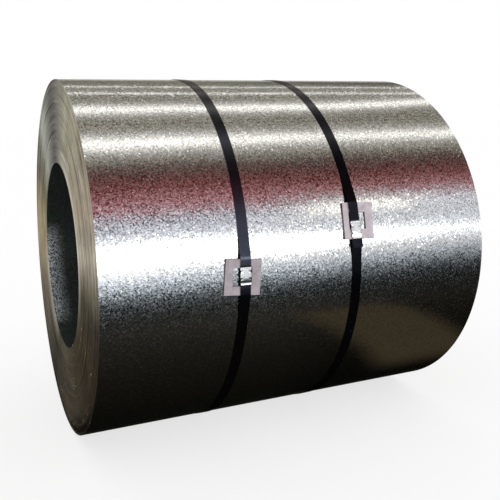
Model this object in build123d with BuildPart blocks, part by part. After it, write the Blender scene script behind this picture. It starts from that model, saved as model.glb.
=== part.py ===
from build123d import *
import os
from math import acos, atan2, cos, degrees, hypot, radians, sin, tan

# Coil: one galvanised strip wound on itself, lying on its side with the bore along X
strip_width = 1250.0
strip_thickness = 1.2
coil_diameter = 1150.0
bore_diameter = 610.0
tail_angle = 232.0  # the strip's outer end, in degrees up and over from the front
head_angle = 140.0  # the strip's inner end, on the wall of the bore
head_fade = 60.0  # the arc over which the step at the inner end dies away

# Bands of turns that wandered along the axis in winding, from the bore outwards
turn_wander = 0.8
band_edge_shares = (0, 0.06, 0.17, 0.29, 0.37, 0.50, 0.60, 0.72, 0.83, 0.92, 1)
wander_shares = (0, -1, 0, 1, -1, 0, 1, -1, 1, 0)

# Straps: black steel strapping round the coil
strap_width = 32.0
strap_thickness = 1.0
left_strap_x = -218.5
right_strap_x = 145.0
left_strap_lean = -1.0  # turn at the joint, in degrees; the strap runs a little askew round the coil
right_strap_lean = 0.55

# Pads: flat plates with a window, between the strap joints and the coil
pad_length = 109.0
pad_breadth = 101.0
window_width = 56.0
window_height = 50.0
left_window_shift = -1.5
right_window_shift = -3.5
pad_thickness = 4.5
left_pad_angle = 0.9
right_pad_angle = 13.6
left_pad_shift = -7.0
right_pad_shift = 13.5
left_pad_twist = -5.0
right_pad_twist = -2.4

# Seals: folded steel sleeves, notched on to the lapped ends of the straps
seal_length = 44.0
seal_sheet = 1.1
seal_bend = 1.2
seal_slot = 6.0
lip_length = 4.5
lip_rise = 1.8
notch_radius = 4.0
notch_depth = 4.0
notch_pitch = 20.0
left_seal_drop = -6.0
right_seal_drop = 25.5
lap_past_seal = 9.0
left_tail = 7.0
right_tail = 31.0

# The gap between pieces that bear on each other
fit_gap = 0.1

coil_radius = coil_diameter / 2
bore_radius = bore_diameter / 2
build_up = coil_radius - bore_radius

# A strap that runs askew bears on the coil with its edges, so its bend is that much wider
most_lean = radians(max(abs(left_strap_lean), abs(right_strap_lean)))
edge_rise = strap_width / 2 * sin(most_lean)
strap_seat = (coil_radius + fit_gap + edge_rise) / cos(most_lean)
axis_height = (strap_seat + strap_thickness) * cos(most_lean) + edge_rise
bore_axis = Axis((0, 0, axis_height), (1, 0, 0))

# Heights of the layers at a joint, from the axis of the coil outwards
pad_seat = coil_radius + fit_gap
pad_face = pad_seat + pad_thickness
seal_seat = pad_face + fit_gap
lower_lap = seal_seat + seal_sheet + fit_gap
upper_lap = lower_lap + strap_thickness + fit_gap
seal_roof = upper_lap + strap_thickness + fit_gap
seal_top = seal_roof + seal_sheet
seal_width = strap_width + 2 * (fit_gap + seal_sheet)


def outward(angle):
    return Vector(0, -cos(radians(angle)), sin(radians(angle)))


def along(angle, lean):
    # The direction along the coil, turned on the coil's face by the lean
    up_the_face = Vector(0, sin(radians(angle)), cos(radians(angle)))
    return Vector(cos(radians(lean)), 0, 0) + up_the_face * sin(radians(lean))


def section_plane(x, angle, lean=0):
    # Cuts across the coil: local x runs outwards at the angle, and local y up the coil's face
    return Plane(origin=(x, 0, axis_height), x_dir=outward(angle), z_dir=-along(angle, lean))


def face_plane(x, angle, depth, lean=0):
    # Lies against the coil: local x runs along the coil, local y up its face, local z outwards
    origin = Vector(x, 0, axis_height) + outward(angle) * depth
    return Plane(origin=origin, x_dir=along(angle, lean), z_dir=outward(angle))


# The wound strip: bands of turns, turned about the bore, with the strip's two ends as steps
with BuildPart() as coil:
    with BuildSketch(Plane(origin=(0, 0, axis_height), x_dir=(1, 0, 0), z_dir=(0, -1, 0))):
        for low, high, wander in zip(band_edge_shares, band_edge_shares[1:], wander_shares):
            with Locations((wander * turn_wander, bore_radius + build_up * (low + high) / 2)):
                Rectangle(strip_width, build_up * (high - low))
    revolve(axis=bore_axis)

    # The outermost turn closes in by one strip thickness, on two half circles
    with BuildSketch(section_plane(0, tail_angle)):
        with BuildLine():
            half_step = strip_thickness / 2
            CenterArc((0, 0), coil_radius, 0, 180)
            CenterArc((-half_step, 0), coil_radius - half_step, 180, 180)
            Line((coil_radius - strip_thickness, 0), (coil_radius, 0))
        make_face()
    extrude(amount=strip_width, both=True, mode=Mode.INTERSECT)

    # Past the inner end the wall of the bore lies one strip thickness deeper
    with BuildSketch(section_plane(0, head_angle)):
        with BuildLine():
            fade = radians(head_fade)
            fade_end = Vector(bore_radius * cos(fade), bore_radius * sin(fade))
            step_foot = Vector(bore_radius + strip_thickness, 0)
            TangentArc(fade_end, step_foot, tangent=(sin(fade), -cos(fade)))
            Polyline(step_foot, (0, 0), fade_end)
        make_face()
    extrude(amount=strip_width, both=True, mode=Mode.SUBTRACT)
coil.part.label = "coil"


def make_pad(strap_x, angle, shift, twist, width, height, window_shift):
    # A flat plate with a window cut by hand, laid against the coil
    with BuildPart() as pad:
        with BuildSketch(face_plane(strap_x + shift, angle, pad_seat)):
            Rectangle(width, height, rotation=twist)
            with Locations((window_shift, 0)):
                Rectangle(window_width, window_height, rotation=twist, mode=Mode.SUBTRACT)
        extrude(amount=pad_thickness)
    return pad.part


def notch_outline(strap_x, angle, lean, drop):
    # Half-round bites in both edges of the joint, through the sleeve and the strap ends alike
    with BuildSketch(face_plane(strap_x, angle, seal_seat, lean)) as notches:
        with Locations((0, -drop)):
            edge_span = seal_width + 2 * (notch_radius - notch_depth)
            with GridLocations(edge_span, notch_pitch, 2, 2):
                Circle(notch_radius)
    return notches.sketch


def strap_face(lift, crest, lower_end, upper_end):
    # One face of the strap: over the pad in the lower lap, round the coil, and back in the upper lap
    radius = strap_seat + lift

    def lift_off(level):
        leave = atan2(crest, level) + acos(strap_seat / hypot(level, crest))
        height = level + lift
        brow = Vector(height, (radius - height * cos(leave)) / sin(leave))
        foot = Vector(radius * cos(leave), radius * sin(leave))
        return leave, brow, foot

    lower_leave, lower_brow, lower_foot = lift_off(lower_lap)
    upper_leave, upper_brow, upper_foot = lift_off(upper_lap)
    lower_tip = Vector(lower_lap + lift, lower_end)
    upper_tip = Vector(upper_lap + lift, upper_end)
    Polyline(lower_tip, (lower_brow.X, -lower_brow.Y), (lower_foot.X, -lower_foot.Y))
    CenterArc((0, 0), radius, -degrees(lower_leave), degrees(lower_leave + upper_leave) - 360)
    Polyline(upper_foot, upper_brow, upper_tip)
    return lower_tip, upper_tip


def make_strap(strap_x, angle, lean, shift, twist, height, drop, tail):
    # A strip bent once round the coil, with its ends lapped in the seal on top of the pad
    reach = strap_width / 2 + abs(shift)
    askew = radians(abs(twist - lean))
    crest = height / 2 / cos(askew) + reach * tan(askew)
    lower_end = seal_length / 2 + lap_past_seal - drop
    upper_end = -seal_length / 2 - tail - drop
    with BuildPart() as strap:
        with BuildSketch(section_plane(strap_x, angle, lean)):
            with BuildLine():
                inner_tips = strap_face(0, crest, lower_end, upper_end)
                outer_tips = strap_face(strap_thickness, crest, lower_end, upper_end)
                for inner_tip, outer_tip in zip(inner_tips, outer_tips):
                    Line(inner_tip, outer_tip)
            make_face()
        extrude(amount=strap_width / 2, both=True)
        notches = notch_outline(strap_x, angle, lean, drop)
        extrude(notches, amount=seal_top - seal_seat, mode=Mode.SUBTRACT)
    return strap.part


def make_seal(strap_x, angle, lean, drop):
    # A folded sleeve: roof, two sides and two flanges turned in under the strap, with flared lips
    section = face_plane(strap_x, angle, seal_seat, lean)
    across = Plane(origin=section.origin, x_dir=section.x_dir, z_dir=-section.y_dir)
    height = seal_top - seal_seat
    with BuildPart() as seal:
        with BuildSketch(across.offset(drop)):
            with Locations((0, height / 2)):
                RectangleRounded(seal_width, height, seal_bend)
                Rectangle(strap_width + 2 * fit_gap, height - 2 * seal_sheet, mode=Mode.SUBTRACT)
            Rectangle(seal_slot, 2 * seal_sheet, mode=Mode.SUBTRACT)
        extrude(amount=seal_length / 2, both=True)
        with BuildSketch(section_plane(strap_x, angle, lean)):
            for end in (-1, 1):
                root = end * seal_length / 2 - drop
                tip = root + end * lip_length
                with BuildLine():
                    Polyline(
                        (seal_roof, root),
                        (seal_top, root),
                        (seal_top + lip_rise, tip),
                        (seal_roof + lip_rise, tip),
                        close=True,
                    )
                make_face()
        extrude(amount=seal_width / 2 - seal_bend, both=True)
        notches = notch_outline(strap_x, angle, lean, drop)
        extrude(notches, amount=seal_top - seal_seat, mode=Mode.SUBTRACT)
    return seal.part


# The two pads are alike in outline, and the right one lies a quarter turn round
left_pad = make_pad(
    left_strap_x, left_pad_angle, left_pad_shift, left_pad_twist,
    pad_length, pad_breadth, left_window_shift,
)
right_pad = make_pad(
    right_strap_x, right_pad_angle, right_pad_shift, right_pad_twist,
    pad_breadth, pad_length, right_window_shift,
)
left_strap = make_strap(
    left_strap_x, left_pad_angle, left_strap_lean, left_pad_shift, left_pad_twist,
    pad_breadth, left_seal_drop, left_tail,
)
right_strap = make_strap(
    right_strap_x, right_pad_angle, right_strap_lean, right_pad_shift, right_pad_twist,
    pad_length, right_seal_drop, right_tail,
)
left_seal = make_seal(left_strap_x, left_pad_angle, left_strap_lean, left_seal_drop)
right_seal = make_seal(right_strap_x, right_pad_angle, right_strap_lean, right_seal_drop)

left_pad.label = "pad_left"
right_pad.label = "pad_right"
left_strap.label = "strap_left"
right_strap.label = "strap_right"
left_seal.label = "seal_left"
right_seal.label = "seal_right"

os.makedirs("parts", exist_ok=True)
for piece in (coil.part, left_pad, right_pad, left_strap, right_strap, left_seal, right_seal):
    export_step(piece, f"parts/{piece.label}.step")
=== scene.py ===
import bpy
import math
import numpy as np
from mathutils import Matrix, Vector


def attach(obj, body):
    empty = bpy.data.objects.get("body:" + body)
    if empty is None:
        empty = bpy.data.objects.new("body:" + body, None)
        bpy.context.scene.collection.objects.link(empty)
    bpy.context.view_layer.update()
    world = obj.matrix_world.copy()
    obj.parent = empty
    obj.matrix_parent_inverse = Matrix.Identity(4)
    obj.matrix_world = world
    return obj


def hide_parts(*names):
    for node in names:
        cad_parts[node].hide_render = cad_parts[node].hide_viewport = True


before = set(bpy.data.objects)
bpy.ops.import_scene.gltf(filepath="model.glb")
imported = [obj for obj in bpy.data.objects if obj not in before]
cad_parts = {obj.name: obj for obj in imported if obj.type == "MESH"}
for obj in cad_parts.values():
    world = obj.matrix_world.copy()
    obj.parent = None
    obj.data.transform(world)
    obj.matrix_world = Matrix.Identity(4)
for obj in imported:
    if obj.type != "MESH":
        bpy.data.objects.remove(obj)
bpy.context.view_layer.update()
scene = bpy.context.scene
scene.view_settings.view_transform = "Standard"
print("frame loaded:", sorted(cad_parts))

axisHeight = 0.57666  # the bore's axis above the floor
coilRadius = 0.575


# camera, placed from the outlines of both ends and of the bore
cameraSettings = {
    "place": (-0.9678, -2.1954, 1.0277),
    "yaw": 0.38463,  # to the right of straight on
    "pitch": -0.112,
    "roll": -0.0146,
    "lens": 47.636,
    "shift": (0.076, -0.12),
}


def makeCamera(settings):
    yaw, pitch, roll = settings["yaw"], settings["pitch"], settings["roll"]
    ahead = Vector((math.sin(yaw) * math.cos(pitch), math.cos(yaw) * math.cos(pitch), math.sin(pitch)))
    right = Vector((math.cos(yaw), -math.sin(yaw), 0))
    above = right.cross(ahead)
    rolledRight = right * math.cos(roll) + above * math.sin(roll)
    rolledUp = above * math.cos(roll) - right * math.sin(roll)
    data = bpy.data.cameras.new("camera")
    data.lens = settings["lens"]
    data.sensor_width = 36
    data.shift_x, data.shift_y = settings["shift"]
    data.clip_end = 200
    obj = bpy.data.objects.new("camera", data)
    turn = Matrix((rolledRight, rolledUp, -ahead)).transposed()
    obj.matrix_world = Matrix.Translation(settings["place"]) @ turn.to_4x4()
    scene.collection.objects.link(obj)
    scene.camera = obj


makeCamera(cameraSettings)
print("camera placed")


# node helpers: a value may be a socket or a plain number
def addNode(tree, kind, **settings):
    made = tree.nodes.new(kind)
    for key, value in settings.items():
        setattr(made, key, value)
    return made


def plug(tree, socket, value):
    if isinstance(value, bpy.types.NodeSocket):
        tree.links.new(value, socket)
    else:
        socket.default_value = value


def setInputs(tree, node, values):
    for name, value in values.items():
        plug(tree, node.inputs[name], value)


def doMath(tree, operation, first, second=0.0):
    made = addNode(tree, "ShaderNodeMath", operation=operation)
    plug(tree, made.inputs[0], first)
    plug(tree, made.inputs[1], second)
    return made.outputs[0]


def times(tree, first, second):
    return doMath(tree, "MULTIPLY", first, second)


def minus(tree, first, second):
    return doMath(tree, "SUBTRACT", first, second)


def doVector(tree, operation, first, second=(0, 0, 0)):
    made = addNode(tree, "ShaderNodeVectorMath", operation=operation)
    plug(tree, made.inputs[0], first)
    if operation == "SCALE":
        plug(tree, made.inputs["Scale"], second)
    elif operation not in ("NORMALIZE", "LENGTH"):
        plug(tree, made.inputs[1], second)
    return made.outputs["Value"] if operation in ("LENGTH", "DOT_PRODUCT") else made.outputs["Vector"]


def dot(tree, first, second):
    return doVector(tree, "DOT_PRODUCT", first, second)


def remap(tree, value, fromLow, fromHigh, toLow=0, toHigh=1, smooth=True):
    kind = "SMOOTHSTEP" if smooth else "LINEAR"
    made = addNode(tree, "ShaderNodeMapRange", interpolation_type=kind)
    limits = {"From Min": fromLow, "From Max": fromHigh, "To Min": toLow, "To Max": toHigh}
    setInputs(tree, made, {"Value": value, **limits})
    return made.outputs["Result"]


def mixColours(tree, factor, first, second, blend="MIX"):
    made = addNode(tree, "ShaderNodeMix", data_type="RGBA", blend_type=blend)
    for number, value in ((0, factor), (6, first), (7, second)):  # the sockets for colours
        plug(tree, made.inputs[number], value)
    return made.outputs[2]


def colourRamp(tree, share, stops):
    made = addNode(tree, "ShaderNodeValToRGB")
    plug(tree, made.inputs[0], share)
    elements = made.color_ramp.elements  # a new ramp has one at 0 and one at 1
    for number, (place, colour) in enumerate(stops):
        stop = elements[0] if number < 1 else elements.new(place) if place < 1 else elements[-1]
        stop.position, stop.color = place, (*colour, 1)
    return made.outputs[0]


def noise(tree, vector, scale, detail, roughness, dimensions="3D", output=0):
    made = addNode(tree, "ShaderNodeTexNoise", noise_dimensions=dimensions)
    plug(tree, made.inputs["W" if dimensions == "1D" else "Vector"], vector)
    setInputs(tree, made, {"Scale": scale, "Detail": detail, "Roughness": roughness})
    return made.outputs[output]


def bumped(tree, height, strength, distance):
    made = addNode(tree, "ShaderNodeBump")
    setInputs(tree, made, {"Strength": strength, "Distance": distance, "Height": height})
    return made.outputs[0]


def newMaterial(name):
    material = bpy.data.materials.new(name)
    material.use_nodes = True
    tree = material.node_tree
    return material, tree, tree.nodes["Principled BSDF"]


def objectPlace(tree):
    return addNode(tree, "ShaderNodeTexCoord").outputs["Object"]


def axisPlace(tree):
    place = doVector(tree, "SUBTRACT", objectPlace(tree), (0, 0, axisHeight))
    across = doVector(tree, "MULTIPLY", place, (0, 1, 1))
    return place, across, doVector(tree, "NORMALIZE", across)


def surfaceNormal(tree, kind="Normal"):
    return addNode(tree, "ShaderNodeNewGeometry").outputs[kind]


def newGroup(name, inputs, outputs):
    tree = bpy.data.node_groups.new(name, "ShaderNodeTree")
    for sockets, direction in ((inputs, "INPUT"), (outputs, "OUTPUT")):
        for socketName, kind in sockets.items():
            tree.interface.new_socket(name=socketName, in_out=direction, socket_type="NodeSocket" + kind)
    return tree, addNode(tree, "NodeGroupInput"), addNode(tree, "NodeGroupOutput")


def useGroup(tree, group, **values):
    made = addNode(tree, "ShaderNodeGroup", node_tree=group)
    setInputs(tree, made, values)
    return made


# zinc spangle: each grain lies a little askew, and some grains are dull
spangleSettings = {
    "steepPower": 3.0,
    "steep": (0.3, 1.9),  # times the tilt
    "dullFrom": (0.5, 0.92),
}


def makeSpangle(settings):
    tree, given, result = newGroup(
        "spangle",
        {"Place": "Vector", "Grains": "Float", "Tilt": "Float", "Normal": "Vector"},
        {"Normal": "Vector", "Dull": "Float", "Tone": "Float"},
    )
    grains = addNode(tree, "ShaderNodeTexVoronoi")
    setInputs(tree, grains, {"Vector": given.outputs["Place"], "Scale": given.outputs["Grains"]})
    lots = addNode(tree, "ShaderNodeTexWhiteNoise")
    plug(tree, lots.inputs["Vector"], grains.outputs["Position"])
    split = addNode(tree, "ShaderNodeSeparateColor")
    plug(tree, split.inputs[0], lots.outputs["Color"])
    power = doMath(tree, "POWER", split.outputs[0], settings["steepPower"])
    steep = remap(tree, power, 0, 1, *settings["steep"], smooth=False)
    lean = doVector(tree, "SUBTRACT", grains.outputs["Color"], (0.5, 0.5, 0.5))
    lean = doVector(tree, "SCALE", lean, times(tree, given.outputs["Tilt"], steep))
    leaning = doVector(tree, "NORMALIZE", doVector(tree, "ADD", given.outputs["Normal"], lean))
    dull = remap(tree, split.outputs[1], *settings["dullFrom"])
    setInputs(tree, result, {"Normal": leaning, "Dull": dull, "Tone": split.outputs[2]})
    return tree


# faint rubs of handling
scuffSettings = {
    "broad": (1.0, 4, 0.62),  # scale, detail, roughness
    "fine": (6.0, 3, 0.6),
    "fineShare": 0.35,
    "edge": (0.78, 0.4),  # where rubs start without cover, and how far cover lowers that
    "soft": 0.12,
}


def makeScuffs(settings):
    tree, given, result = newGroup(
        "scuffs", {"Place": "Vector", "Size": "Float", "Cover": "Float"}, {"Rubs": "Float"}
    )
    place = doVector(tree, "SCALE", given.outputs["Place"], given.outputs["Size"])
    fine = minus(tree, noise(tree, place, *settings["fine"]), 0.5)
    broad = noise(tree, place, *settings["broad"])
    rubbed = doMath(tree, "ADD", broad, times(tree, fine, settings["fineShare"]))
    start, lowered = settings["edge"]
    edge = minus(tree, start, times(tree, given.outputs["Cover"], lowered))
    rubs = remap(tree, minus(tree, rubbed, edge), 0, settings["soft"])
    plug(tree, result.inputs["Rubs"], rubs)
    return tree


spangle = makeSpangle(spangleSettings)
scuffs = makeScuffs(scuffSettings)
print("shared effects made: spangle, scuffs")


def meshObject(name, points, faces, smooth=True, sharp=None):
    mesh = bpy.data.meshes.new(name)
    mesh.from_pydata([tuple(p) for p in points], [], faces)
    mesh.update()
    mesh.polygons.foreach_set("use_smooth", [smooth] * len(faces))
    if sharp:
        mesh.set_sharp_from_angle(angle=math.radians(sharp))
    obj = bpy.data.objects.new(name, mesh)
    scene.collection.objects.link(obj)
    return obj


def tubeFaces(rings, size, start=0):
    faces = []
    for near in range(start, start + (rings - 1) * size, size):
        far = near + size
        for j in range(size):
            k = (j + 1) % size
            faces.append((near + j, near + k, far + k, far + j))
    return faces


# studio: a white room, a pale floor, and cards that only shiny surfaces see
studio = {
    "room": (1, 1, 1, 1),
    "floorShader": {"Base Color": (0.98, 0.98, 0.98, 1), "Roughness": 0.9, "Specular IOR Level": 0},
    "floorHalf": 60,
    "paleShadow": 0.72,  # how far the floor's shadow is lifted towards white
    "cardRadius": 30.0,
    "cardReach": (-45.0, 55.0),
    "skySteps": 86,
    # what hangs over the coil: degrees up and over from the front, bright slats, dark slats
    "skyFrontLeft": [
        (-4, (1.1, 1.15, 1.22), (0.7, 0.73, 0.78)),
        (15, (1.1, 1.15, 1.22), (0.7, 0.73, 0.78)),
        (19.5, (0.92, 0.95, 1.05), (0.45, 0.47, 0.53)),
        (24, (0.92, 0.95, 1.08), (0.1, 0.105, 0.13)),
        (29, (0.9, 0.83, 0.92), (0.06, 0.055, 0.07)),
        (33.5, (0.74, 0.46, 0.5), (0.16, 0.025, 0.035)),
        (40, (0.55, 0.285, 0.3), (0.13, 0.01, 0.015)),
        (48, (0.31, 0.125, 0.12), (0.07, 0.003, 0.003)),
        (55, (0.2, 0.085, 0.077), (0.035, 0.003, 0.002)),
    ],
    "skyFrontRight": [
        (-4, (1.1, 1.15, 1.22), (0.7, 0.73, 0.78)),
        (11, (1.05, 1.1, 1.17), (0.58, 0.61, 0.65)),
        (17, (0.92, 0.94, 1.0), (0.34, 0.355, 0.39)),
        (26, (1.0, 1.03, 1.13), (0.35, 0.36, 0.41)),
        (30.5, (0.84, 0.8, 0.87), (0.29, 0.25, 0.28)),
        (34, (0.62, 0.49, 0.525), (0.21, 0.11, 0.125)),
        (39, (0.55, 0.285, 0.3), (0.13, 0.01, 0.015)),
        (47, (0.29, 0.12, 0.115), (0.06, 0.003, 0.003)),
        (54, (0.18, 0.08, 0.073), (0.03, 0.003, 0.002)),
    ],
    "skyTop": [
        (62, (0.18, 0.118, 0.096), (0.006, 0.004, 0.003)),
        (69, (0.4, 0.37, 0.295), (0.02, 0.018, 0.015)),
        (105, (0.4, 0.37, 0.295), (0.02, 0.018, 0.015)),
        (122, (0.42, 0.395, 0.32), (0.05, 0.046, 0.037)),
        (140, (0.35, 0.34, 0.27), (0.19, 0.18, 0.15)),
    ],
    "skyBackLeft": [
        (156, (0.24, 0.235, 0.19), (0.13, 0.125, 0.1)),
        (168, (0.24, 0.235, 0.19), (0.13, 0.125, 0.1)),
    ],
    "skyBackRight": [
        (154, (0.15, 0.145, 0.115), (0.08, 0.075, 0.06)),
        (168, (0.15, 0.145, 0.115), (0.08, 0.075, 0.06)),
    ],
    "skyChange": (11.0, 19.0),  # along the coil, from the left to the right
    # long lamps overhead: along the coil, degrees, strength; then half width and edge in degrees
    "lamps": [
        ([(-45, 78, 1.8), (9, 79.3, 1.8), (16, 80.4, 1.45), (55, 80.5, 1.45)], 1.0, 8.0),
        (
            [(-45, 109, 1.55), (9, 109.8, 1.55), (17, 111, 1.55)]
            + [(20.5, 112.5, 1.5), (25, 116.5, 1.5), (55, 122, 1.5)],
            1.0,
            6.8,
        ),
        (
            [(-45, 26, 0), (15.8, 26, 0), (17, 26, 0.9), (18.7, 26, 1.7)]
            + [(22.5, 26, 1.6), (23.5, 25.5, 1), (24.7, 25, 0), (55, 25, 0)],
            2.5,
            5.0,
        ),
        ([(-45, 130.6, 1.15), (55, 130.6, 1.15)], 0.9, 1.8),
        ([(-45, 142.8, 1.1), (55, 142.8, 1.1)], 0.8, 1.2),
    ],
    "lampColour": (1.0, 0.98, 0.92),
    "lampFade": 1.6,
    "slat": 1.6,  # degrees
    # the bright opening in front: along the coil, degrees from and to
    "opening": [(-45, -3.9, 13.8), (8, -3.9, 13.8), (17, -0.5, 11), (26, 4, 6), (55, 4, 6)],
    "openingStrength": 3.2,
    "openingShare": 0.96,  # of the cards' radius
    # the floor in front: degrees down from the coil's front, bright slats, dark slats unless alike
    "frontFloor": [
        (1, (1.6, 1.6, 1.6), (1.3, 1.3, 1.3)),
        (3, (1.5, 1.5, 1.5), (1.1, 1.1, 1.1)),
        (5.5, (1.38, 1.45, 1.55), (0.75, 0.79, 0.83)),
        (9, (1.2, 1.28, 1.42), (0.35, 0.38, 0.42)),
        (13, (0.87, 0.96, 1.06), (0.115, 0.13, 0.14)),
        (17.5, (0.5, 0.56, 0.62), (0.02, 0.023, 0.025)),
        (22, (0.165, 0.19, 0.21), (0.005, 0.006, 0.007)),
        (27, (0.075, 0.087, 0.092), (0.004, 0.005, 0.005)),
        (33, (0.05, 0.053, 0.05), (0.006, 0.007, 0.006)),
        (40, (0.034, 0.035, 0.031), (0.012, 0.013, 0.011)),
        (50, (0.025, 0.023, 0.019), (0.023, 0.021, 0.017)),
        (62, (0.017, 0.016, 0.012)),
        (75, (0.0125, 0.0115, 0.0088)),
        (90, (0.0082, 0.0076, 0.0058)),
        (112, (0.0038, 0.0037, 0.0027)),
        (136, (0.0026, 0.0026, 0.0018)),
    ],
    "frontFloorPlace": (-20, 25, -30, 0),  # from and to along the coil, from and to across it
    # a brown patch near the right end: middle, lean, half width along the coil, reach across it
    "brown": (0.045, 0.035, 0.02),
    "brownPlace": (0.59, -0.7),
    "brownLean": 0.28,
    "brownHalf": (0.14, 0.3),
    "brownFront": (-1.12, -0.95),
    "brownBack": (-0.44, -0.26),
    "frontFloorRight": ((0.15, 0.8), 0.56),  # slope along the coil where it dims, and how far
    "frontFloorSlat": 1.6,  # degrees
    # cards on the floor: from and to along the coil, from and to across it; then the colour
    "floorCards": {
        "darkFloorBehind": ((-0.63, 25, -0.2, 2.6), (0.012, 0.012, 0.01)),
        "endFloorFar": ((-20, -0.63, 0.9, 6), (0.42, 0.385, 0.31)),
        "endFloorMiddle": ((-1.25, -0.63, 0, 6), (0.3, 0.27, 0.21)),
        "endFloorNear": ((-1.0, -0.63, 0, 6), (0.17, 0.15, 0.115)),
        "endFloorDark": ((-0.8, -0.63, 0, 6), (0.07, 0.06, 0.046)),
        "endFloorFoot": ((-9, -0.63, 0, 0.9), (0.09, 0.078, 0.06)),
        "backFloorPale": ((-0.63, 25, 2.6, 6), (0.13, 0.125, 0.11)),
    },
    "cardLow": 0.0002,
    "cardStep": 0.00008,  # each card above the last, all below the coil's lowest line
    "backWall": (0.49, 0.48, 0.43),
    "backWallPlace": (-20, 25, 6, 3),  # from and to along the coil, behind it, height
}


def glowMaterial(name, colour=(1, 1, 1), strength=1.0):
    material, tree, shader = newMaterial(name)
    tree.nodes.remove(shader)
    glow = addNode(tree, "ShaderNodeEmission")
    setInputs(tree, glow, {"Color": (*colour, 1), "Strength": strength})
    tree.links.new(glow.outputs[0], tree.nodes["Material Output"].inputs["Surface"])
    return material


def slattedGlow(tree, degrees, stops, slat):
    first, last = stops[0][0], stops[-1][0]
    share = remap(tree, degrees, first, last, smooth=False)
    span = last - first
    bright = colourRamp(tree, share, [((stop[0] - first) / span, stop[1]) for stop in stops])
    dark = colourRamp(tree, share, [((stop[0] - first) / span, stop[-1]) for stop in stops])
    turn = doMath(tree, "FRACT", doMath(tree, "DIVIDE", degrees, 2 * slat))
    return mixColours(tree, doMath(tree, "LESS_THAN", turn, 0.5), dark, bright)


def cardPlace(tree):
    split = addNode(tree, "ShaderNodeSeparateXYZ")
    plug(tree, split.inputs[0], objectPlace(tree))
    x, y, z = split.outputs
    return x, times(tree, y, -1.0), minus(tree, z, axisHeight)


def skyMaterial(settings):
    material = glowMaterial("sky")
    tree = material.node_tree
    x, ahead, over = cardPlace(tree)
    degrees = doMath(tree, "DEGREES", doMath(tree, "ARCTAN2", over, ahead))
    sides = []
    for side in ("Left", "Right"):
        stops = settings["skyFront" + side] + settings["skyTop"] + settings["skyBack" + side]
        sides.append(slattedGlow(tree, degrees, stops, settings["slat"]))
    sky = mixColours(tree, remap(tree, x, *settings["skyChange"]), *sides)
    start, end = settings["cardReach"]
    along = remap(tree, x, start, end, smooth=False)
    furthest, brightest = 180.0, 2.0  # a ramp holds 0 to 1
    for course, half, edge in settings["lamps"]:
        stops = []
        for at, angle, strength in course:
            stops.append(((at - start) / (end - start), (angle / furthest, strength / brightest, 0)))
        split = addNode(tree, "ShaderNodeSeparateColor")
        plug(tree, split.inputs[0], colourRamp(tree, along, stops))
        middle = times(tree, split.outputs[0], furthest)
        strength = times(tree, split.outputs[1], brightest)
        away = doMath(tree, "ABSOLUTE", minus(tree, degrees, middle))
        past = doMath(tree, "MAXIMUM", minus(tree, away, half), 0.0)
        fade = doMath(tree, "EXPONENT", times(tree, past, -settings["lampFade"] / edge))
        lamp = doVector(tree, "SCALE", settings["lampColour"], times(tree, fade, strength))
        sky = mixColours(tree, 1.0, sky, lamp, "LIGHTEN")
    plug(tree, tree.nodes["Emission"].inputs["Color"], sky)
    return material


def frontFloorMaterial(settings):
    material = glowMaterial("frontFloor")
    tree = material.node_tree
    x, ahead, _ = cardPlace(tree)
    reach = minus(tree, ahead, coilRadius)
    degrees = doMath(tree, "DEGREES", doMath(tree, "ARCTAN2", axisHeight, reach))
    colour = slattedGlow(tree, degrees, settings["frontFloor"], settings["frontFloorSlat"])
    slope, dim = settings["frontFloorRight"]
    share = remap(tree, doMath(tree, "DIVIDE", x, ahead), *slope, 1, dim, smooth=False)
    colour = doVector(tree, "SCALE", colour, share)
    middleX, middleY = settings["brownPlace"]
    across = times(tree, ahead, -1.0)
    lean = times(tree, minus(tree, across, middleY), settings["brownLean"])
    away = minus(tree, minus(tree, x, middleX), lean)
    brown = remap(tree, doMath(tree, "ABSOLUTE", away), *settings["brownHalf"], 1, 0)
    brown = times(tree, brown, remap(tree, across, *settings["brownFront"]))
    brown = times(tree, brown, remap(tree, across, *settings["brownBack"], 1, 0))
    colour = mixColours(tree, brown, colour, (*settings["brown"], 1))
    plug(tree, tree.nodes["Emission"].inputs["Color"], colour)
    return material


oneFace = [(0, 1, 2, 3)]


def addCard(name, points, faces, material):
    card = meshObject(name, points, faces)
    card.data.materials.append(material)
    for rays in ("camera", "diffuse", "shadow", "transmission"):
        setattr(card, "visible_" + rays, False)


def flatCorners(reach, z):
    fromX, toX, fromY, toY = reach
    return [(fromX, fromY, z), (toX, fromY, z), (toX, toY, z), (fromX, toY, z)]


def arcPoint(x, radius, degrees):
    angle = math.radians(degrees)
    return x, -radius * math.cos(angle), axisHeight + radius * math.sin(angle)


def makeFloor(settings):
    half = settings["floorHalf"]
    floor = meshObject("floor", flatCorners((-half, half, -half, half), 0), oneFace)
    material, tree, shader = newMaterial("floor")
    setInputs(tree, shader, settings["floorShader"])
    white = addNode(tree, "ShaderNodeEmission")
    rays = addNode(tree, "ShaderNodeLightPath").outputs
    seen = doMath(tree, "MAXIMUM", rays["Is Camera Ray"], rays["Is Glossy Ray"])
    seen = doMath(tree, "MAXIMUM", seen, rays["Is Transmission Ray"])
    mixed = addNode(tree, "ShaderNodeMixShader")
    plug(tree, mixed.inputs[0], times(tree, seen, settings["paleShadow"]))
    tree.links.new(shader.outputs[0], mixed.inputs[1])
    tree.links.new(white.outputs[0], mixed.inputs[2])
    tree.links.new(mixed.outputs[0], tree.nodes["Material Output"].inputs["Surface"])
    floor.data.materials.append(material)


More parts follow.
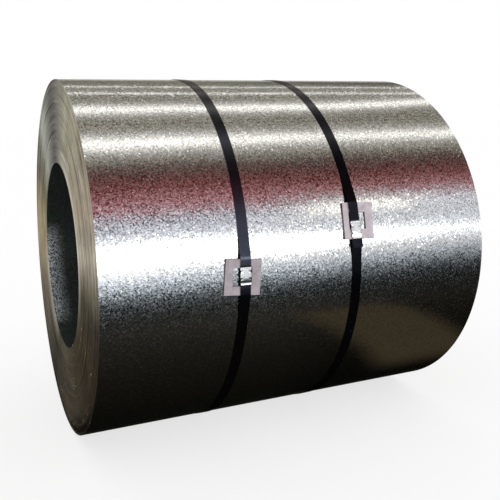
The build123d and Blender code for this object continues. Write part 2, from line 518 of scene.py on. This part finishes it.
def makeSky(settings):
    left, right = settings["cardReach"]
    low, high = settings["skyFrontLeft"][0][0], settings["skyBackLeft"][-1][0]
    steps = settings["skySteps"]
    points, faces = [], []
    for step in range(steps + 1):
        degrees = low + (high - low) * step / steps
        points += [arcPoint(x, settings["cardRadius"], degrees) for x in (left, right)]
    points += [(left, 0, axisHeight), (right, 0, axisHeight)]
    leftMiddle, rightMiddle = len(points) - 2, len(points) - 1
    for first in range(0, 2 * steps, 2):
        faces.append((first, first + 1, first + 3, first + 2))
        faces += [(leftMiddle, first, first + 2), (rightMiddle, first + 3, first + 1)]  # end walls
    addCard("sky", points, faces, skyMaterial(settings))


def makeOpening(settings):
    radius = settings["openingShare"] * settings["cardRadius"]
    points = [arcPoint(x, radius, angle) for x, low, high in settings["opening"] for angle in (low, high)]
    faces = [(first, first + 1, first + 3, first + 2) for first in range(0, len(points) - 2, 2)]
    addCard("opening", points, faces, glowMaterial("opening", strength=settings["openingStrength"]))


def makeStudio(settings):
    world = bpy.data.worlds.new("room")
    world.use_nodes = True
    world.node_tree.nodes["Background"].inputs["Color"].default_value = settings["room"]
    scene.world = world
    makeFloor(settings)
    makeSky(settings)
    makeOpening(settings)
    z = settings["cardLow"]
    corners = flatCorners(settings["frontFloorPlace"], z)
    addCard("frontFloor", corners, oneFace, frontFloorMaterial(settings))
    for name, (reach, colour) in settings["floorCards"].items():
        z += settings["cardStep"]
        addCard(name, flatCorners(reach, z), oneFace, glowMaterial(name, colour))
    fromX, toX, y, top = settings["backWallPlace"]
    corners = [(fromX, y, 0), (toX, y, 0), (toX, y, top), (fromX, y, top)]
    addCard("backWall", corners, oneFace, glowMaterial("backWall", settings["backWall"]))
    print("studio set")


makeStudio(studio)


# coil: a few turns at a time as rings of their own on both ends
coil = {
    "segments": 256,
    "boreRadius": 0.305,
    "halfWidth": 0.625,
    "stripThickness": 0.0012,
    "tailAngle": 232.0,
    "ringsPerEnd": 80,
    "wander": 0.0008,
    "bandEdges": (0, 0.06, 0.17, 0.29, 0.37, 0.50, 0.60, 0.72, 0.83, 0.92, 1),
    "bandWander": (0, -1, 0, 1, -1, 0, 1, -1, 1, 0),
    "ringJitter": 0.0003,
    "seed": 7,
    "skinRings": 20,
    "boreRings": 8,
    "sharp": 30.0,  # degrees
}


def ringOffsets(settings):
    rng = np.random.default_rng(settings["seed"])
    total = settings["ringsPerEnd"]
    edges = settings["bandEdges"]
    offsets = []
    for i in range(total):
        middle = (i + 0.5) / total
        band = max(k for k in range(len(edges) - 1) if edges[k] <= middle)
        drift = settings["bandWander"][band] * settings["wander"]
        jitter = rng.uniform(-1, 1) * settings["ringJitter"]
        if drift != 0:
            jitter = -abs(jitter) * np.sign(drift)  # never prouder than the band
        offsets.append(drift + jitter)
    return offsets


def outerRadii(settings, local):
    step = settings["stripThickness"] / 2
    radii = np.full(len(local), coilRadius)
    late = local > np.pi
    inside = (coilRadius - step) ** 2 - (step * np.sin(local[late])) ** 2
    radii[late] = -step * np.cos(local[late]) + np.sqrt(inside)
    return radii


def makeCoil(settings):
    count, total = settings["segments"], settings["ringsPerEnd"]
    bore, half = settings["boreRadius"], settings["halfWidth"]
    offsets = ringOffsets(settings)
    local = np.linspace(0, 2 * np.pi, count + 1)  # the seam is at the tail of the strip
    angles = math.radians(settings["tailAngle"]) + local
    left, right = [], []
    for i in range(total):
        for share in (i / total, (i + 1) / total):
            left.append((share, -half + offsets[i]))
            right.append((share, half + offsets[i]))
    skinCount, boreCount = settings["skinRings"], settings["boreRings"]
    skinX = np.linspace(-half + offsets[-1], half + offsets[-1], skinCount + 1)[1:-1]
    boreX = np.linspace(half + offsets[0], -half + offsets[0], boreCount + 1)[1:-1]
    profile = left + [(1.0, x) for x in skinX] + right[::-1] + [(0.0, x) for x in boreX]
    skin, edge, wall = range(3)  # material slots
    slotOf = [edge] * (len(left) - 1) + [skin] * skinCount
    slotOf += [edge] * (len(right) - 1) + [wall] * boreCount
    points = []
    for angle, radius in zip(angles, outerRadii(settings, local)):
        for share, x in profile:
            reach = bore + share * (radius - bore)
            points.append((x, -reach * math.cos(angle), axisHeight + reach * math.sin(angle)))
    faces, slots = tubeFaces(count + 1, len(profile)), slotOf * count
    last = count * len(profile)
    for j in range(len(left) - 1, len(left) + skinCount - 1):  # the step at the tail of the strip
        faces.append((j, last + j, last + j + 1, j + 1))
        slots.append(skin)
    obj = meshObject("coilTurns", points, faces, sharp=settings["sharp"])
    obj.data.polygons.foreach_set("material_index", slots)
    print("coil turns:", len(faces) * 2, "triangles")
    return obj


zincFinish = {
    "colour": (0.83, 0.83, 0.82, 1),
    "darkGrain": (0.62, 0.62, 0.612, 1),
    "grains": 270.0,  # to the metre
    "tilt": (0.077, 0.046),  # on the front and on the top
    "topStart": (0.5, 0.72),  # how far the skin faces up
    "darkFrom": (0.3, 0.95),
    "roughness": (0.05, 0.24),  # of bright and of dull grains
    "swell": (2.6, 2, 0.45),  # scale, detail, roughness of a sheet that isn't quite flat
    "wave": 0.02,
}


def zincSkin(settings):
    material, tree, shader = newMaterial("zincSkin")
    place, normal = objectPlace(tree), surfaceNormal(tree)
    swell = noise(tree, place, *settings["swell"], output="Color")
    lean = doVector(tree, "SCALE", doVector(tree, "SUBTRACT", swell, (0.5, 0.5, 0.5)), settings["wave"])
    waved = doVector(tree, "ADD", normal, lean)
    upward = doMath(tree, "ABSOLUTE", dot(tree, normal, (0, 0, 1)))
    tilt = remap(tree, upward, *settings["topStart"], *settings["tilt"])
    grains = useGroup(tree, spangle, Place=place, Grains=settings["grains"], Tilt=tilt, Normal=waved)
    darker = remap(tree, grains.outputs["Tone"], *settings["darkFrom"])
    base = mixColours(tree, darker, settings["colour"], settings["darkGrain"])
    rough = remap(tree, grains.outputs["Dull"], 0, 1, *settings["roughness"], smooth=False)
    look = {"Base Color": base, "Metallic": 1, "Roughness": rough, "Normal": grains.outputs["Normal"]}
    setInputs(tree, shader, look)
    return material


edgeFinish = {
    "dark": (0.2, 0.19, 0.165, 1),
    "light": (0.55, 0.53, 0.47, 1),
    # painted highlight colour for the streaks
    "paintedStreak": (0.85, 0.83, 0.77, 1),
    "speck": (0.42, 0.4, 0.36, 1),
    "grit": 210.0,  # grains to the metre
    "gritShare": (0.994, 0.999),
    "gritSide": (-0.1, 0.4),  # how far it faces down
    "turnNoise": (420.0, 3, 0.7),  # single turns: scale, detail, roughness
    "bandNoise": (60.0, 2, 0.5),  # bands of turns
    "patchNoise": (9.0, 3, 0.55),
    "streakNoise": (1.0, 4, 0.6),  # turns that caught the light for part of the way round, painted in as highlight streaks
    "streakLay": (1.7, 120.0),  # round the end, and out from the bore
    "toneShares": (0.6, 0.4, 0.5),  # of turns, bands and patches
    "toneFrom": (0.3, 0.7),
    "streakFrom": (0.56, 0.72),
    "paintedGlintFrom": (0.35, 0.6),
    "roughness": (0.34, 0.5),
    # painted highlight colour
    "paintedGlint": (1.0, 0.98, 0.93, 1),
    "paintedGlints": [  # painted highlights on turns near the bore: side, how far they face it, radius, least share
        ((0, -0.92, 0.39), (0.35, 0.9), (0.32, 0.355), 0.6),
        ((0, 0.77, -0.64), (0.8, 0.98), (0.312, 0.4), 0.0),
    ],
    "lean": 0.25,
    "anisotropic": 0.8,
    "paintedSheen": [  # painted sheen, reflections painted round the end: share of the way round from the front, and half the strength of the painted shine there
        (0.0, (0.62, 0.61, 0.58)),
        (0.03, (1.0, 0.98, 0.97)),
        (0.08, (0.84, 0.79, 0.75)),
        (0.19, (0.9, 0.9, 0.85)),
        (0.26, (0.04, 0.04, 0.05)),
        (0.28, (0.04, 0.04, 0.05)),
        (0.35, (1.0, 1.15, 1.3)),
        (0.42, (0.55, 0.54, 0.47)),
        (0.47, (1.0, 0.92, 0.74)),
        (0.58, (0.41, 0.4, 0.37)),
        (0.68, (0.11, 0.115, 0.11)),
        (0.8, (0.38, 0.34, 0.29)),
        (0.92, (0.6, 0.55, 0.47)),
        (0.97, (0.33, 0.31, 0.29)),
        (1.0, (0.62, 0.61, 0.58)),
    ],
}


def stripEdges(settings):
    material, tree, shader = newMaterial("stripEdges")
    place, across, outwards = axisPlace(tree)
    radius = doVector(tree, "LENGTH", across)
    turns = noise(tree, radius, *settings["turnNoise"], "1D")
    bands = noise(tree, radius, *settings["bandNoise"], "1D")
    patches = noise(tree, place, *settings["patchNoise"])
    around, outFromBore = settings["streakLay"]
    lay = addNode(tree, "ShaderNodeCombineXYZ")
    plug(tree, lay.inputs[0], times(tree, radius, outFromBore))
    winding = doVector(tree, "ADD", doVector(tree, "SCALE", outwards, around), lay.outputs[0])
    paintedStreaks = noise(tree, winding, *settings["streakNoise"])
    ofTurns, ofBands, ofPatches = settings["toneShares"]
    tone = doMath(tree, "ADD", times(tree, turns, ofTurns), times(tree, bands, ofBands))
    tone = doMath(tree, "ADD", tone, times(tree, minus(tree, patches, 0.5), ofPatches))
    light = remap(tree, tone, *settings["toneFrom"])
    base = mixColours(tree, light, settings["dark"], settings["light"])
    # painted highlight streaks
    base = mixColours(tree, remap(tree, paintedStreaks, *settings["streakFrom"]), base, settings["paintedStreak"])
    split = addNode(tree, "ShaderNodeSeparateXYZ")
    plug(tree, split.inputs[0], across)
    # painted sheen: the base colour is darkened and lightened by the angle round the end, as reflections
    # would fall
    turned = doMath(tree, "ARCTAN2", times(tree, split.outputs[2], -1.0), split.outputs[1])
    share = remap(tree, turned, -math.pi, math.pi, smooth=False)
    paintedSheen = doVector(tree, "SCALE", colourRamp(tree, share, settings["paintedSheen"]), 2.0)
    base = mixColours(tree, 1.0, base, paintedSheen, "MULTIPLY")
    # painted highlights: the base colour is lifted to a pale highlight colour on turns near the bore
    # facing given sides
    for towards, facing, reach, leastShare in settings["paintedGlints"]:
        paintedGlint = remap(tree, dot(tree, outwards, towards), *facing)
        paintedGlint = times(tree, paintedGlint, remap(tree, radius, *reach, 1, 0))
        paintedGlint = times(tree, paintedGlint, remap(tree, turns, *settings["paintedGlintFrom"], leastShare, 1))
        base = mixColours(tree, paintedGlint, base, settings["paintedGlint"])
    normal = surfaceNormal(tree)
    grit = useGroup(tree, spangle, Place=place, Grains=settings["grit"], Tilt=0.0, Normal=normal)
    specks = remap(tree, grit.outputs["Tone"], *settings["gritShare"])
    downward = dot(tree, outwards, (0, 0, -1))
    specks = times(tree, specks, remap(tree, downward, *settings["gritSide"]))
    lean = times(tree, minus(tree, turns, 0.5), settings["lean"])
    leaning = doVector(tree, "ADD", normal, doVector(tree, "SCALE", outwards, lean))
    look = {
        "Base Color": mixColours(tree, specks, base, settings["speck"]),
        "Metallic": minus(tree, 1.0, specks),
        "Roughness": remap(tree, bands, *settings["toneFrom"], *settings["roughness"]),
        "Anisotropic": settings["anisotropic"],
        "Tangent": outwards,
        "Normal": doVector(tree, "NORMALIZE", leaning),
    }
    setInputs(tree, shader, look)
    return material


boreFinish = {
    # painted light and shade: the wall is painted near black as the shade deep in the bore, and pale
    # grains are painted in only near the ends, on the side lit through the opening
    "light": (0.64, 0.7, 0.72, 1),
    "dark": (0.018, 0.025, 0.021, 1),
    "spangle": {"Grains": 360.0, "Tilt": 0.04},
    "deepShare": 0.045,  # of the light grains, away from the ends, where the wall is painted dark as shade
    "endStart": (0.55, 0.63),  # along the coil, from its middle
    "litSide": (0, 0.891, -0.454),
    "litFrom": (0.74, 0.93),
    "paleFrom": (0.3, 0.8),
    "leastPale": 0.06,
    "shader": {"Metallic": 0.4, "Roughness": 0.45, "Specular IOR Level": 0.2},
}


def boreWall(settings):
    material, tree, shader = newMaterial("boreWall")
    place, _, outwards = axisPlace(tree)
    along = doMath(tree, "ABSOLUTE", dot(tree, place, (1, 0, 0)))
    nearEnd = remap(tree, along, *settings["endStart"])
    # painted light: pale grains only near the ends and on the lit side, painted shade elsewhere
    lit = remap(tree, dot(tree, outwards, settings["litSide"]), *settings["litFrom"])
    grains = useGroup(tree, spangle, Place=place, Normal=surfaceNormal(tree), **settings["spangle"])
    pale = remap(tree, grains.outputs["Tone"], *settings["paleFrom"], settings["leastPale"], 1)
    paintedLightShare = doMath(tree, "MAXIMUM", times(tree, nearEnd, lit), settings["deepShare"])
    base = mixColours(tree, times(tree, pale, paintedLightShare), settings["dark"], settings["light"])
    look = {"Base Color": base, "Normal": grains.outputs["Normal"], **settings["shader"]}
    setInputs(tree, shader, look)
    return material


coilTurns = makeCoil(coil)
for material in (zincSkin(zincFinish), stripEdges(edgeFinish), boreWall(boreFinish)):
    coilTurns.data.materials.append(material)
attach(coilTurns, "root")
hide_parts("coil")


# where the straps' ends meet: along the coil, angle, turn, how far the seal sits below
joints = {
    "left": (-218.5, 0.9, -1.0, -6.0),
    "right": (145.0, 13.6, 0.55, 25.5),
}
jointSide = (0, -0.993, 0.12)  # what the joints face


# a frame on the coil's face, in millimetres: along the coil, up its face, outwards
def jointFrame(x, angle, depth, turn):
    angle, turn = math.radians(angle), math.radians(turn)
    outwards = Vector((0, -math.cos(angle), math.sin(angle)))
    upFace = Vector((0, math.sin(angle), math.cos(angle)))
    along = Vector((math.cos(turn), 0, 0)) + upFace * math.sin(turn)
    origin = Vector((x / 1000, 0, axisHeight)) + outwards * (depth / 1000)
    axes = Matrix((along, outwards.cross(along), outwards)).transposed().to_4x4()
    return Matrix.Translation(origin) @ axes @ Matrix.Scale(0.001, 4)


def dress(obj, material, node):
    obj.data.materials.append(material)
    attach(obj, "root")
    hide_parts(node)


# pads: hand-cut plates with a window
pads = {
    "length": 109.0,
    "breadth": 101.0,
    "windowWidth": 56.0,
    "windowHeight": 50.0,
    "thickness": 4.5,
    "depth": 575.1,
    "edgeRound": 0.6,
    "cutSteps": 8,
    "cutNudge": 0.18,  # a knife cut is never quite straight
    "seeds": {"left": 5, "right": 11},
    "places": {  # along the coil, angle, twist, shift of the window, whether it lies a quarter turn round
        "left": (-225.5, 0.9, -5.0, -1.5, False),
        "right": (158.5, 13.6, -2.4, -3.5, True),
    },
}


def makePad(settings, side):
    x, angle, twist, shift, quarter = settings["places"][side]
    across, up = settings["length"] / 2, settings["breadth"] / 2
    if quarter:
        across, up = up, across
    rng = np.random.default_rng(settings["seeds"][side])
    windowAcross, windowUp = settings["windowWidth"] / 2, settings["windowHeight"] / 2
    steps = settings["cutSteps"]
    rings = []
    for halfU, halfV, middle, sag in ((across, up, 0, -1), (windowAcross, windowUp, shift, 1)):
        corners = [(-halfU, -halfV), (halfU, -halfV), (halfU, halfV), (-halfU, halfV)]
        ring = []
        for number, (a, b) in enumerate(zip(corners, corners[1:] + corners[:1])):
            for step in range(steps):
                share = step / steps
                u, v = a[0] + (b[0] - a[0]) * share, a[1] + (b[1] - a[1]) * share
                nudge = 0 if step == 0 else abs(rng.normal(0, settings["cutNudge"])) * sag
                if number % 2:
                    u += nudge * math.copysign(1, u)
                else:
                    v += nudge * math.copysign(1, v)
                ring.append((u + middle, v))
        rings.append(ring)
    place = jointFrame(x, angle, settings["depth"], twist)
    size = len(rings[0])
    points, faces = [], []
    for height in (0, settings["thickness"]):
        for ring in rings:
            points += [place @ Vector((u, v, height)) for u, v in ring]
    for i in range(size):
        j = (i + 1) % size
        faces.append((i, size + i, size + j, j))
        faces.append((2 * size + i, 2 * size + j, 3 * size + j, 3 * size + i))
        faces.append((i, j, 2 * size + j, 2 * size + i))
        faces.append((size + j, size + i, 3 * size + i, 3 * size + j))
    obj = meshObject(f"pad{side.capitalize()}Plate", points, faces, smooth=False)
    bevel = obj.modifiers.new("edgeRound", "BEVEL")
    bevel.width = settings["edgeRound"] / 1000
    bevel.segments = 2
    bevel.limit_method = "ANGLE"
    bevel.angle_limit = math.radians(50)
    return obj


padFinish = {
    "colour": (0.45, 0.395, 0.415, 1),
    "pale": (0.55, 0.49, 0.51, 1),
    "rub": (0.28, 0.23, 0.235, 1),
    # painted shade for the pad's sides and underside
    "cut": (0.16, 0.125, 0.12, 1),
    "paintedLighting": {"left": (0.78, 0.78, 0.8, 1), "right": (1.1, 1.1, 1.14, 1)},  # times the colour: the left pad painted darker as shade, the right painted lighter as light
    "cloud": (45.0, 4, 0.6),  # scale, detail, roughness
    "paleFrom": (0.35, 0.68),
    "grain": (900.0, 2, 0.5),
    "grainFrom": (0.3, 0.7),
    "roughness": (0.62, 0.78),
    "bump": (0.25, 0.0004),  # strength, height
    "rubs": {"Size": 42.0, "Cover": 0.45},
    "rubShare": 0.6,
    "cutFrom": (0.35, 0.8),  # how far it faces out; faces turned away get painted shade
}


def padGrey(settings, side):
    material, tree, shader = newMaterial(f"padGrey{side.capitalize()}")
    place = objectPlace(tree)
    cloud = noise(tree, place, *settings["cloud"])
    grain = noise(tree, place, *settings["grain"])
    pale = remap(tree, cloud, *settings["paleFrom"])
    base = mixColours(tree, pale, settings["colour"], settings["pale"])
    rubs = useGroup(tree, scuffs, Place=place, **settings["rubs"]).outputs["Rubs"]
    base = mixColours(tree, times(tree, rubs, settings["rubShare"]), base, settings["rub"])
    # painted shade: faces turned away from the front are darkened
    facing = dot(tree, surfaceNormal(tree, "True Normal"), jointSide)
    base = mixColours(tree, remap(tree, facing, *settings["cutFrom"], 1, 0), base, settings["cut"])
    # painted light and shade: lit and shaded copies of the one pad colour, one per side
    base = mixColours(tree, 1.0, base, settings["paintedLighting"][side], "MULTIPLY")
    rough = remap(tree, grain, *settings["grainFrom"], *settings["roughness"])
    normal = bumped(tree, grain, *settings["bump"])
    setInputs(tree, shader, {"Base Color": base, "Roughness": rough, "Normal": normal})
    return material


for side in pads["places"]:
    dress(makePad(pads, side), padGrey(padFinish, side), f"pad_{side}")
print("pads made")


# seals: folded sleeves with crimped bites and flared lips
seals = {
    "halfWidth": 17.2,
    "halfLength": 22.0,
    "sheet": 1.1,
    "height": 4.5,
    "bend": 1.3,
    "bendSteps": 4,
    "halfSlot": 3.0,
    "underside": 9.0,  # a point on the flat below
    "roof": [(13.0, 0.0), (9.0, 0.15), (4.5, 0.25), (0.0, 0.28)],  # from the middle, rise
    "lipHalf": 16.0,
    "lipLength": 4.5,
    "lipLap": 0.3,
    "lipSteps": 4,
    "lipCurl": 1.6,
    "lipInset": 1.2,
    "bitePitch": 10.0,  # from the middle
    "biteHalf": 3.6,
    "biteStart": 11.5,  # across, from the middle
    "biteDepth": 2.6,
    "biteDrop": 0.9,
    "spacing": 1.5,
    "sharp": 38.0,
    "depth": 579.7,
    "lipRise": {"left": (0.55, 1.8), "right": (0.3, 1.2)},  # of the lower and of the upper lip
    "swell": {  # up the seal, and how far the roof is bulged there by the crimping
        "left": [(-22, 0.15), (-19, 0.35), (-14, 1.25), (-9, 1.5), (22, 0)],
        "right": [(-22, 0), (-18, 0.5), (-12, 1.15), (-4, 1.3), (14, 0.3), (22, 0)],
    },
}


def sealOutline(settings):
    half, height, bend, sheet = (settings[name] for name in ("halfWidth", "height", "bend", "sheet"))
    outer = [(settings["halfSlot"], 0.0), (settings["underside"], 0.0)]
    steps = settings["bendSteps"]
    for centre, start in (((half - bend, bend), -90), ((half - bend, height - bend), 0)):
        for step in range(steps + 1):
            angle = math.radians(start + 90 / steps * step)
            outer.append((centre[0] + bend * math.cos(angle), centre[1] + bend * math.sin(angle)))
    outer += [(u, height + rise) for u, rise in settings["roof"]]
    outer += [(-u, w) for u, w in reversed(outer[:-1])]
    inside = half - sheet
    inner = []
    for u, w in outer:
        inner.append((max(-inside, min(inside, u)), sheet if w < height / 2 else min(w, height) - sheet))
    return outer, inner


def sealStations(settings):
    length, bite = settings["halfLength"], settings["biteHalf"]
    stations = [-length, -length + 0.5, length - 0.5, length]
    for middle in (-settings["bitePitch"], settings["bitePitch"]):
        stations += [middle - bite - 0.25, middle + bite + 0.25]
        stations += [middle + bite * share for share in (-1, -0.5, 0, 0.5, 1)]
    even = np.arange(-20, 21, settings["spacing"])
    return sorted(stations + [v for v in even if min(abs(v - s) for s in stations) > 0.4])


def makeSeal(settings, side):
    x, angle, turn, drop = joints[side]
    place = jointFrame(x, angle, settings["depth"], turn)
    swellAt, swellBy = zip(*settings["swell"][side])
    outer, inner = sealOutline(settings)
    loop = outer + inner[::-1]
    size = len(loop)
    length, bite, biteStart = settings["halfLength"], settings["biteHalf"], settings["biteStart"]
    sheet, height = settings["sheet"], settings["height"]
    stations = sealStations(settings)
    points = []
    for v in stations:
        swell = np.interp([v - 1, v, v + 1], swellAt, swellBy).mean()
        off = min(abs(v - settings["bitePitch"]), abs(v + settings["bitePitch"]))
        bitten = 1.0 if off <= bite + 0.01 else 0.0
        deep = 0.75 + 0.25 * math.cos(min(off / bite, 1) * math.pi / 2)
        for u, w in loop:
            pull = bitten * deep * max(0.0, (abs(u) - biteStart) / (settings["halfWidth"] - biteStart))
            sunk = settings["biteDrop"] * pull - swell if w > height / 2 else 0
            moved = u - math.copysign(settings["biteDepth"] * pull, u)
            points.append(place @ Vector((moved, v - drop, w - sunk)))
    faces = tubeFaces(len(stations), size)
    for start, flip in ((0, False), ((len(stations) - 1) * size, True)):
        for j in range(len(outer) - 1):
            quad = (start + j, start + size - 1 - j, start + size - 2 - j, start + j + 1)
            faces.append(quad[::-1] if flip else quad)
    lipHalf, lap, steps = settings["lipHalf"], settings["lipLap"], settings["lipSteps"]
    roof = [u for u, w in outer if w > height - 0.01 and abs(u) < lipHalf]
    ring = 2 * len(roof)
    for end, lipRise in zip((-1, 1), settings["lipRise"][side]):
        start = len(points)
        foot = np.interp(end * length, swellAt, swellBy)
        for step in range(steps + 1):
            share = step / steps
            v = end * (length - lap + (settings["lipLength"] + lap) * share)
            level = height + foot + lipRise * share ** settings["lipCurl"]
            narrowed = 1 - settings["lipInset"] * share ** 3 / lipHalf
            points += [place @ Vector((u * narrowed, v - drop, level)) for u in roof]
            points += [place @ Vector((u * narrowed, v - drop, level - sheet)) for u in reversed(roof)]
        lip = tubeFaces(steps + 1, ring, start)
        faces += lip if end < 0 else [quad[::-1] for quad in lip]
        for base, flip in ((start, end < 0), (start + steps * ring, end > 0)):
            for j in range(len(roof) - 1):
                quad = (base + j, base + j + 1, base + ring - 2 - j, base + ring - 1 - j)
                faces.append(quad if flip else quad[::-1])
    return meshObject(f"seal{side.capitalize()}Sleeve", points, faces, sharp=settings["sharp"])


sealFinish = {
    "colour": (0.8, 0.8, 0.79, 1),
    "dullColour": (0.6, 0.6, 0.6, 1),
    # painted shade, near black, on the sleeve's sides and underside
    "sideShade": (0.02, 0.019, 0.018, 1),
    "sideShadeFrom": (0.2, 0.7),  # how far it faces out; faces turned away get painted shade
    "spangle": {"Grains": 420.0, "Tilt": 0.03},
    "dullShare": 0.6,
    "rubs": {"Size": 110.0, "Cover": 0.4},
    "roughness": (0.16, 0.3),  # where it is bright and where it is worn
}


def sealZinc(settings):
    material, tree, shader = newMaterial("sealZinc")
    place = objectPlace(tree)
    grains = useGroup(tree, spangle, Place=place, Normal=surfaceNormal(tree), **settings["spangle"])
    rubs = useGroup(tree, scuffs, Place=place, **settings["rubs"]).outputs["Rubs"]
    worn = doMath(tree, "MAXIMUM", times(tree, grains.outputs["Dull"], settings["dullShare"]), rubs)
    base = mixColours(tree, worn, settings["colour"], settings["dullColour"])
    # painted shade: faces turned away from the front are darkened
    facing = dot(tree, surfaceNormal(tree, "True Normal"), jointSide)
    base = mixColours(tree, remap(tree, facing, *settings["sideShadeFrom"], 1, 0), base, settings["sideShade"])
    rough = remap(tree, worn, 0, 1, *settings["roughness"], smooth=False)
    look = {"Base Color": base, "Metallic": 1, "Roughness": rough, "Normal": grains.outputs["Normal"]}
    setInputs(tree, shader, look)
    return material


sealMaterial = sealZinc(sealFinish)
for side in joints:
    dress(makeSeal(seals, side), sealMaterial, f"seal_{side}")
print("seals made")


# straps: steel strip bent once round the coil, its ends lapped in the seal
straps = {
    "halfWidth": 16.0,
    "thickness": 1.0,
    "seat": 575.467,
    "lowerLap": 580.9,
    "upperLap": 582.0,
    "edgeRound": 0.3,
    "bendReach": 7.0,
    "bendPoints": 6,
    "arcStep": 2.0,  # degrees
    "biteDepth": 3.2,
    "biteReach": (6.5, 13.5),  # up and down from the middle of the seal
    "biteStops": (-13.6, -13.4, -6.6, -6.4, 6.4, 6.6, 13.4, 13.6),  # round each bite's ends
    "sharp": 35.0,
    "runs": {  # crest over the pad, lower end, upper end
        "left": (52.23, 37.0, -23.0),
        "right": (56.09, 5.5, -78.5),
    },
}


def strapPath(settings, side):
    crest, lowerEnd, upperEnd = settings["runs"][side]
    seat = settings["seat"]
    middle = settings["thickness"] / 2
    radius = seat + middle

    def liftOff(level):
        leave = math.atan2(crest, level) + math.acos(seat / math.hypot(level, crest))
        height = level + middle
        brow = Vector((height, (radius - height * math.cos(leave)) / math.sin(leave)))
        return leave, brow

    def bend(before, corner, after):
        start = corner + (before - corner).normalized() * settings["bendReach"]
        stop = corner + (after - corner).normalized() * settings["bendReach"]
        shares = np.linspace(0, 1, settings["bendPoints"])
        return [start * (1 - t) ** 2 + corner * 2 * t * (1 - t) + stop * t * t for t in shares]

    lowerLeave, lowerBrow = liftOff(settings["lowerLap"])
    upperLeave, upperBrow = liftOff(settings["upperLap"])
    lowerBrow.y = -lowerBrow.y
    span = 2 * math.pi - lowerLeave - upperLeave
    steps = int(math.degrees(span) / settings["arcStep"])
    arc = [-lowerLeave - span * step / steps for step in range(steps + 1)]
    arc = [Vector((radius * math.cos(a), radius * math.sin(a))) for a in arc]
    lowerTip = Vector((settings["lowerLap"] + middle, lowerEnd))
    upperTip = Vector((settings["upperLap"] + middle, upperEnd))
    stops = [at - joints[side][3] for at in settings["biteStops"]]

    def run(start, stop):
        low, high = min(start.y, stop.y) + 1, max(start.y, stop.y) - 1
        between = [Vector((start.x, at)) for at in stops if low < at < high]
        return sorted(between, key=lambda p: abs(p.y - start.y))

    path = [lowerTip] + run(lowerTip, lowerBrow) + bend(lowerTip, lowerBrow, arc[0])
    path += arc + bend(arc[-1], upperBrow, upperTip)
    return path + run(upperBrow, upperTip) + [upperTip]


def makeStrap(settings, side):
    x, angle, turn, drop = joints[side]
    place = jointFrame(x, angle, 0, turn)
    half, thick, soft = settings["halfWidth"], settings["thickness"] / 2, settings["edgeRound"]
    section = [(-half + soft, -thick), (half - soft, -thick), (half, -thick + soft), (half, thick - soft)]
    section += [(-u, -w) for u, w in section]
    path = strapPath(settings, side)
    size, last = len(section), len(path) - 1
    biteFrom, biteTo = settings["biteReach"]
    points = []
    for i, here in enumerate(path):
        ahead = (path[min(i + 1, last)] - path[max(i - 1, 0)]).normalized()
        outwards = Vector((-ahead.y, ahead.x))
        atBite = here.x > settings["lowerLap"] - 0.5 and biteFrom < abs(here.y + drop) < biteTo
        narrow = settings["biteDepth"] if atBite else 0
        for u, w in section:
            spot = here + outwards * w
            points.append(place @ Vector((u - math.copysign(narrow, u), spot.y, spot.x)))
    faces = tubeFaces(len(path), size)
    faces += [tuple(range(size - 1, -1, -1)), tuple(range(last * size, last * size + size))]
    return meshObject(f"strap{side.capitalize()}Band", points, faces, sharp=settings["sharp"])


strapFinish = {
    "colour": (0.0015, 0.0015, 0.002, 1),
    "rub": (0.012, 0.0105, 0.009, 1),
    "shine": (0.72, 0.76, 1.0, 1),
    "roughness": (0.13, 0.22),
    "gloss": {"left": (1.0, 0.38), "right": (0.24, 0.24)},  # on the front and on the dusty top
    "topStart": (0.4, 0.75),  # how far it faces up
    "lowStart": (0.545, 0.57),  # height below which it is duller
    "lowShare": 0.3,
    "rubs": {"Size": 70.0, "Cover": 0.4},
    "rubShare": 0.7,
    "cloud": (30.0, 4, 0.6),
    "cloudFrom": (0.3, 0.7),
    "bump": (0.2, 0.0003),
}


def strapBlack(settings, side):
    material, tree, shader = newMaterial(f"strapBlack{side.capitalize()}")
    place = objectPlace(tree)
    rubs = useGroup(tree, scuffs, Place=place, **settings["rubs"]).outputs["Rubs"]
    cloud = noise(tree, place, *settings["cloud"])
    worn = times(tree, rubs, settings["rubShare"])
    upward = dot(tree, surfaceNormal(tree), (0, 0, 1))
    gloss = remap(tree, upward, *settings["topStart"], *settings["gloss"][side])
    height = dot(tree, place, (0, 0, 1))
    gloss = times(tree, gloss, remap(tree, height, *settings["lowStart"], settings["lowShare"], 1))
    look = {
        "Base Color": mixColours(tree, worn, settings["colour"], settings["rub"]),
        "Roughness": remap(tree, cloud, *settings["cloudFrom"], *settings["roughness"]),
        "Specular IOR Level": gloss,
        "Specular Tint": settings["shine"],
        "Normal": bumped(tree, cloud, *settings["bump"]),
    }
    setInputs(tree, shader, look)
    return material


for side in joints:
    dress(makeStrap(straps, side), strapBlack(strapFinish, side), f"strap_{side}")
print("straps made")
